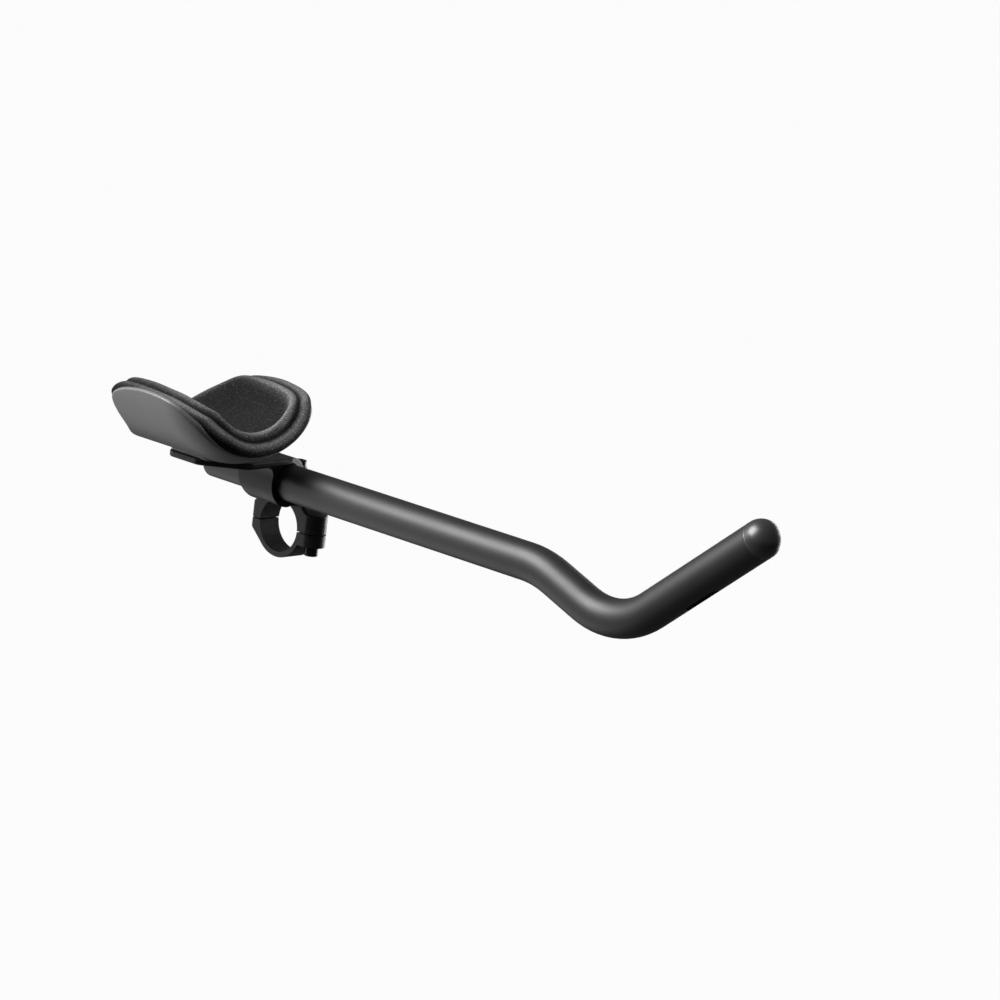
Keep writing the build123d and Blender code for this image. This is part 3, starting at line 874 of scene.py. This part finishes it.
    def carried(self, coarse: Array) -> Array:
        """Values of the coarse grid at the fine grid's points, linear between neighbours.

        Args:
            coarse: Values on the coarse grid, shaped (coarse rings, coarse count, 3).

        Returns:
            Values on the fine grid, shaped (fine rings, fine count, 3).
        """
        row = np.linspace(0, self.coarse_rings - 1, self.fine_rings)
        low = np.minimum(row.astype(int), self.coarse_rings - 2)
        part = (row - low)[:, None, None]
        by_row = coarse[low] * (1 - part) + coarse[low + 1] * part
        column = np.arange(self.fine_count) * self.coarse_count / self.fine_count
        left = column.astype(int)
        right = (left + 1) % self.coarse_count
        part = (column - left)[:, None]
        return by_row[:, left] * (1 - part) + by_row[:, right] * part

    def build(self) -> bpy.types.Object:
        """Fine pad with the swelling of its coarse copy.

        Returns:
            The finished pad.
        """
        points, _, painted_roll_light = self.surface(self.fine_rings, self.fine_count)
        points = points + self.carried(self.swelling())
        faces = ring_faces(self.fine_rings, self.fine_count)
        pad = mesh_object("arm_pad_cushion", points.reshape(-1, 3), faces)
        # Attribute of painted light: highlight on the rolls' crests and shade in the groove,
        # stronger at the front
        wear_and_painted_light = pad.data.attributes.new("painted_roll_light", "FLOAT", "POINT")
        wear_and_painted_light.data.foreach_set("value", np.clip(painted_roll_light, 0, 1).ravel().astype(np.float32))
        settle(pad, BRACKET, PAD_FINISH)
        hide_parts("arm_pad")
        return pad


@dataclass
class ArmShell(TroughPiece):
    """Moulded trough under the pad: a thin wall with a crowned rim, a curled lip and a foot."""

    developed_radius: float = 63.5
    curl_radius: float = 36.0
    wall: float = 3.0
    lip_land: float = 55.9
    outline: tuple[Span, ...] = (
        (26.0, 0.0), (25.6, 17.0), (24.2, 32.0), (22.2, 43.0), (19.2, 51.0), (14.6, 57.5),
        (8.5, 61.8), (0.0, 64.0), (-12.0, 65.2), (-25.0, 65.5), (-35.0, 64.6), (-41.0, 62.0),
        (-43.8, 57.0), (-44.3, 50.0), (-44.8, 43.0), (-46.6, 37.0), (-49.8, 31.5), (-54.4, 24.5),
        (-58.3, 17.0), (-61.2, 8.5), (-62.0, 0.0), (-61.2, -8.5), (-58.3, -17.0), (-54.4, -24.5),
        (-49.8, -31.5), (-46.6, -37.0), (-44.8, -43.0), (-44.4, -50.0), (-44.2, -57.0),
        (-42.4, -61.8), (-37.5, -65.2), (-29.5, -68.0), (-17.0, -69.9), (-7.0, -70.1), (2.3, -69.4),
        (9.5, -67.8), (14.2, -65.0), (17.3, -61.3), (20.0, -57.0), (22.1, -52.5), (23.5, -46.8),
        (24.4, -40.5), (25.2, -31.0), (25.8, -17.0),
    )
    # Inset, share of the way to the middle, share of the way through the wall
    section: tuple[tuple[float, ...], ...] = (
        (12.0, 0.99, 0.0), (12.0, 0.8, 0.0), (12.0, 0.6, 0.0), (12.0, 0.4, 0.0), (12.0, 0.2, 0.0),
        (12.0, 0.0, 0.0), (6.0, 0.0, 0.0), (2.0, 0.0, 0.0), (0.8, 0.0, 0.02), (0.2, 0.0, 0.14),
        (0.0, 0.0, 0.33), (0.0, 0.0, 0.67), (0.2, 0.0, 0.86), (0.8, 0.0, 0.98), (2.0, 0.0, 1.0),
        (6.0, 0.0, 1.0), (12.0, 0.0, 1.0), (12.0, 0.2, 1.0), (12.0, 0.4, 1.0), (12.0, 0.6, 1.0),
        (12.0, 0.8, 1.0), (12.0, 0.99, 1.0),
    )
    rings: int = 112
    count: int = 352
    foot_middle_x: float = -17.0
    foot_half: Span = (18.0, 14.0)
    foot_corner: float = 5.0
    foot_edge: float = 0.3
    foot_height: float = 2.2
    foot_count: int = 48
    # Size of the foot's innermost rings, as a share of its outermost
    foot_middle: float = 0.01

    def trough(self) -> Array:
        """Wall between the outer radius and the inner one, which ends on the lip's land.

        Returns:
            Points in mm, shaped (rings, count, 3).
        """
        x, angle, (through,) = self.spread(self.rings, self.count)
        outer = self.curled(x, self.developed_radius, self.curl_radius)
        inner = self.curled(x, self.developed_radius - self.wall, self.curl_radius - self.wall)
        inner = np.maximum(inner, self.lip_land)
        return self.on_trough(x, angle, outer + (inner - outer) * through)

    def foot(self) -> Array:
        """Flat foot: rings of a rounded rectangle from the plate up into the wall.

        A ring's point is the nearest corner's middle plus the corner's radius in the
        direction of the point's turn.

        Returns:
            Points in mm, shaped (rings, foot_count, 3).
        """
        turn = (np.arange(self.foot_count) + 0.5) * (2 * math.pi / self.foot_count)
        way = np.stack([np.cos(turn), np.sin(turn)], axis=1)
        corner = np.sign(way) * (np.array(self.foot_half) - self.foot_corner)
        # Scale, inset and rise of each ring
        rows = np.array([
            (self.foot_middle, 0.0, 0.0), (1.0, self.foot_edge, 0.0), (1.0, 0.0, self.foot_edge),
            (1.0, 0.0, self.foot_height), (self.foot_middle, 0.0, self.foot_height),
        ])
        scale, inset, rise = (column[:, None, None] for column in rows.T)
        plan = scale * (corner + (self.foot_corner - inset) * way)
        plan = plan + (self.foot_middle_x, self.axis_y)
        level = self.axis_z - self.developed_radius + rise
        return np.concatenate([plan, np.broadcast_to(level, plan.shape[:2] + (1,))], axis=2)

    def build(self) -> bpy.types.Object:
        """Trough and foot as one piece in the place of the CAD shell.

        Returns:
            The finished shell.
        """
        trough, foot = self.trough(), self.foot()
        start = trough.shape[0] * trough.shape[1]
        faces = ring_faces(self.rings, self.count)
        for face in ring_faces(len(foot), self.foot_count):
            faces.append(tuple(start + corner for corner in face))
        points = np.concatenate([trough.reshape(-1, 3), foot.reshape(-1, 3)])
        shell = mesh_object("armrest_shell_trough", points, faces)
        settle(shell, BRACKET, SHELL_FINISH)
        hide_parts("armrest_shell")
        return shell


@dataclass
class GripEnd:
    """Bare edge of the cut tube, a thin bright ring where the plug meets the grip."""

    middle: Point = (361.64, -12.0, 79.58)
    rise: float = 40.0
    radius: float = 11.08
    half_width: float = 0.3
    half_depth: float = 0.1
    count: int = 96
    sides: int = 10

    def build(self) -> bpy.types.Object:
        """Torus with a flattened round section: half_width along the grip, half_depth across it.

        Returns:
            The finished ring.
        """
        rise = math.radians(self.rise)
        along = np.array([math.cos(rise), 0.0, math.sin(rise)])
        side, over = np.array([0.0, 1.0, 0.0]), np.array([-math.sin(rise), 0.0, math.cos(rise)])
        turn = np.linspace(0.0, 2 * math.pi, self.count, endpoint=False)[:, None, None]
        spin = np.linspace(0.0, 2 * math.pi, self.sides, endpoint=False)[None, :, None]
        outward = np.cos(turn) * side + np.sin(turn) * over
        points = (
            np.array(self.middle)
            + outward * (self.radius + self.half_depth * np.cos(spin))
            + along * (self.half_width * np.sin(spin))
        )
        faces = grid_faces(self.count, self.sides, loop_rows=True, loop_columns=True, turned=True)
        ring = mesh_object("grip_end_edge", points.reshape(-1, 3), faces)
        settle(ring, EXTENSION, EDGE_FINISH)
        return ring


class MarkKind(Enum):
    """Marks of the reach scale, by their span in degrees above the tube's inner side."""

    LONG = (-40.0, 60.0)
    UPPER = (34.0, 60.0)
    LOWER = (-40.0, -16.0)


@dataclass
class ReachScale:
    """White scale on the tube's inner side: an arc every 10 mm, numbers between short ticks."""

    tube_y: float = -12.0
    tube_z: float = 28.8
    tube_radius: float = 11.1
    lift: float = 0.035
    first_x: float = -48.5
    pitch: float = 10.0
    arcs: int = 12
    line_width: float = 0.45
    line_points: int = 25
    number_height: float = 4.4
    number_weight: float = 0.05
    number_cuts: int = 2
    number_angle: float = 10.0
    ink_depth: float = 0.08

    def on_tube(self, x: Array, angle: Array) -> Array:
        """Points on the tube's skin at x and at an angle above its inner side, in radians."""
        radius = self.tube_radius + self.lift
        y, z = self.tube_y + radius * np.cos(angle), self.tube_z + radius * np.sin(angle)
        return np.stack([x, y, z], axis=-1)

    def mark(self, x: float, kind: MarkKind) -> tuple[Array, Faces]:
        """One printed line round the tube, as a strip of quads.

        Args:
            x: Middle of the line in mm.
            kind: Which mark of the scale it is.

        Returns:
            Points in mm, one row each, and corner numbers of each face.
        """
        low, high = np.radians(kind.value)
        angle = np.linspace(low, high, self.line_points)
        half = self.line_width / 2
        sides = [self.on_tube(np.full_like(angle, place), angle) for place in (x - half, x + half)]
        return np.concatenate(sides), grid_faces(len(sides), self.line_points)

    def number(self, x: float, text: str) -> tuple[Array, Faces]:
        """A number cut fine, wrapped on the tube and read from the inner side.

        The flat number's x runs against the tube's, and its y over the radius is an angle.

        Args:
            x: Middle of the number in mm.
            text: The number.

        Returns:
            Points in mm, one row each, and corner numbers of each face.
        """
        curve = bpy.data.curves.new("number", "FONT")
        curve.body = text
        curve.align_x, curve.align_y = "CENTER", "CENTER"
        curve.size, curve.offset = self.number_height, self.number_weight
        holder = bpy.data.objects.new("number", curve)
        mesh = bpy.data.meshes.new_from_object(holder)
        fine = bmesh.new()
        fine.from_mesh(mesh)
        bmesh.ops.triangulate(fine, faces=fine.faces[:])
        bmesh.ops.subdivide_edges(
            fine, edges=fine.edges[:], cuts=self.number_cuts, use_grid_fill=True
        )
        fine.to_mesh(mesh)
        fine.free()
        flat = np.empty(len(mesh.vertices) * 3, dtype=np.float32)
        mesh.vertices.foreach_get("co", flat)
        faces = [tuple(face.vertices) for face in mesh.polygons]
        bpy.data.objects.remove(holder)
        bpy.data.curves.remove(curve)
        bpy.data.meshes.remove(mesh)
        flat = flat.reshape(-1, 3).astype(float)
        angle = math.radians(self.number_angle) + flat[:, 1] / self.tube_radius
        return self.on_tube(x - flat[:, 0], angle), faces

    def build(self) -> bpy.types.Object:
        """All marks and numbers as one piece.

        Returns:
            The finished print.
        """
        sets = []
        for index in range(self.arcs):
            x = self.first_x + self.pitch * index
            sets.append(self.mark(x, MarkKind.LONG))
            if index < self.arcs - 1:
                between = x + self.pitch / 2
                sets.append(self.mark(between, MarkKind.UPPER))
                sets.append(self.mark(between, MarkKind.LOWER))
                sets.append(self.number(between, str(index + 1)))
        starts = np.cumsum([0] + [len(points) for points, _ in sets])
        points = np.concatenate([points for points, _ in sets])
        faces = [
            tuple(int(start) + corner for corner in face)
            for start, (_, group) in zip(starts, sets)
            for face in group
        ]
        scale = mesh_object("reach_scale", points, faces)
        layer = scale.modifiers.new("ink_layer", "SOLIDIFY")
        layer.thickness, layer.offset = self.ink_depth * MM, -1.0
        settle(scale, EXTENSION, INK_FINISH)
        return scale


@dataclass(frozen=True)
class SoftLamp:
    """Square soft lamp that looks at a point."""

    name: str
    place: Point
    look_at: Point
    size: float
    power: float

    def build(self) -> None:
        """Add the lamp to the scene."""
        data = bpy.data.lights.new(self.name, "AREA")
        data.shape, data.size, data.energy = "SQUARE", self.size, self.power
        lamp = bpy.data.objects.new(self.name, data)
        bpy.context.scene.collection.objects.link(lamp)
        back = np.array(self.place) - np.array(self.look_at)
        back = back / np.linalg.norm(back)
        right = np.cross(UPRIGHT, back)
        right = right / np.linalg.norm(right)
        lamp.matrix_world = standing(right, np.cross(back, right), back, self.place)


@dataclass
class Studio:
    """White floor and surround, soft lamps and the photograph's camera."""

    floor_z: float = -0.6
    floor_half: float = 60.0
    floor_points: int = 9
    floor_tone: float = 0.08
    floor_share: float = 0.97
    # Part of the floor that reflections see as white
    pool_middle: Point = (-0.62, -0.30, -0.6)
    pool_near: float = 0.35
    pool_far: float = 0.7
    # Level of the surround as light, and of its upper part in reflections
    surround: float = 0.11
    overhead: float = 0.12
    horizon: Span = (-0.02, 0.04)
    azimuth: float = 41.57
    elevation: float = 12.12
    roll: float = 7.11
    eye: Point = (1.5143, -1.5200, 0.4908)
    lens: float = 132.09
    sensor_width: float = 36.0
    clip: Span = (0.05, 60.0)
    lamps: tuple[SoftLamp, ...] = (
        SoftLamp("lamp_left_high", (-0.34, -0.78, 0.88), (0.20, -0.03, 0.03), 0.9, 29.0),
        SoftLamp("lamp_right_fill", (0.10, 1.62, 0.0), (0.13, -0.02, 0.03), 1.15, 20.0),
        SoftLamp("lamp_left_panel", (-1.05, -0.50, 0.0), (0.10, -0.05, 0.03), 1.1, 5.0),
    )

    def build_floor(self) -> None:
        """Pale floor that shows white and keeps part of the object's shadow."""
        side = np.linspace(-self.floor_half, self.floor_half, self.floor_points)
        x, y = np.meshgrid(side, side, indexing="ij")
        points = np.stack([x, y, np.full_like(x, self.floor_z)], axis=-1).reshape(-1, 3) / MM
        faces = grid_faces(self.floor_points, self.floor_points, turned=True)
        floor = mesh_object("studio_floor", points, faces)
        paint = bpy.data.materials.new("floor_white")
        paint.use_nodes = True
        sheet = FinishSheet(paint.node_tree)
        matt = sheet.node("ShaderNodeBsdfDiffuse", sockets={"Color": grey(self.floor_tone)})
        glow = sheet.node("ShaderNodeEmission", sockets={"Color": grey(1.0), "Strength": 1.0})
        sockets = {0: sheet.spot(), 1: self.pool_middle}
        away = sheet.node("ShaderNodeVectorMath", {"operation": "DISTANCE"}, sockets, "Value")
        pool = 1.0 - sheet.step(away, self.pool_near, self.pool_far)
        white = sheet.larger(sheet.ray(Ray.CAMERA), pool * sheet.mirrored())
        sockets = {0: self.floor_share * white, 1: matt, 2: glow}
        sheet.close(sheet.node("ShaderNodeMixShader", sockets=sockets))
        floor.data.materials.append(paint)

    def build_surround(self) -> None:
        """World: white to the camera and, near the horizon, in reflections; dimmer as light."""
        world = bpy.data.worlds.new("studio_surround")
        world.use_nodes = True
        bpy.context.scene.world = world
        sheet = FinishSheet(world.node_tree)
        way = sheet.node("ShaderNodeTexCoord", output="Generated")
        rise = sheet.node("ShaderNodeSeparateXYZ", sockets={0: way}, output="Z")
        level = 1.0 - (1.0 - self.overhead) * sheet.step(rise, *self.horizon)
        white = sheet.larger(sheet.ray(Ray.CAMERA), level * sheet.mirrored())
        sockets = {"Color": grey(1.0), "Strength": sheet.larger(self.surround, white)}
        glow = sheet.node("ShaderNodeBackground", sockets=sockets)
        sheet.close(glow, "ShaderNodeOutputWorld")

    def build_camera(self) -> None:
        """Camera at the photograph's angle: azimuth, elevation and a small roll."""
        a, e, r = (math.radians(v) for v in (self.azimuth, self.elevation, self.roll))
        back = np.array([math.sin(a) * math.cos(e), -math.cos(a) * math.cos(e), math.sin(e)])
        level = np.array([math.cos(a), math.sin(a), 0.0])
        rise = np.cross(back, level)
        right = math.cos(r) * level + math.sin(r) * rise
        up = math.cos(r) * rise - math.sin(r) * level
        data = bpy.data.cameras.new("photo_camera")
        data.lens, data.sensor_width = self.lens, self.sensor_width
        data.clip_start, data.clip_end = self.clip
        camera = bpy.data.objects.new("photo_camera", data)
        camera.matrix_world = standing(right, up, back, self.eye)
        bpy.context.scene.collection.objects.link(camera)
        bpy.context.scene.camera = camera

    def build(self) -> None:
        """Set up the whole studio."""
        bpy.context.scene.view_settings.view_transform = "Standard"
        self.build_floor()
        self.build_surround()
        self.build_camera()
        for lamp in self.lamps:
            lamp.build()


def main() -> None:
    """Build every piece in order, then the studio."""
    logging.basicConfig(level=logging.INFO, format="%(message)s")
    dress_nodes()
    for piece in (ArmPad().build(), ArmShell().build(), GripEnd().build(), ReachScale().build()):
        log.info("built %s with %d faces", piece.name, len(piece.data.polygons))
    Studio().build()


if __name__ == "__main__":
    main()
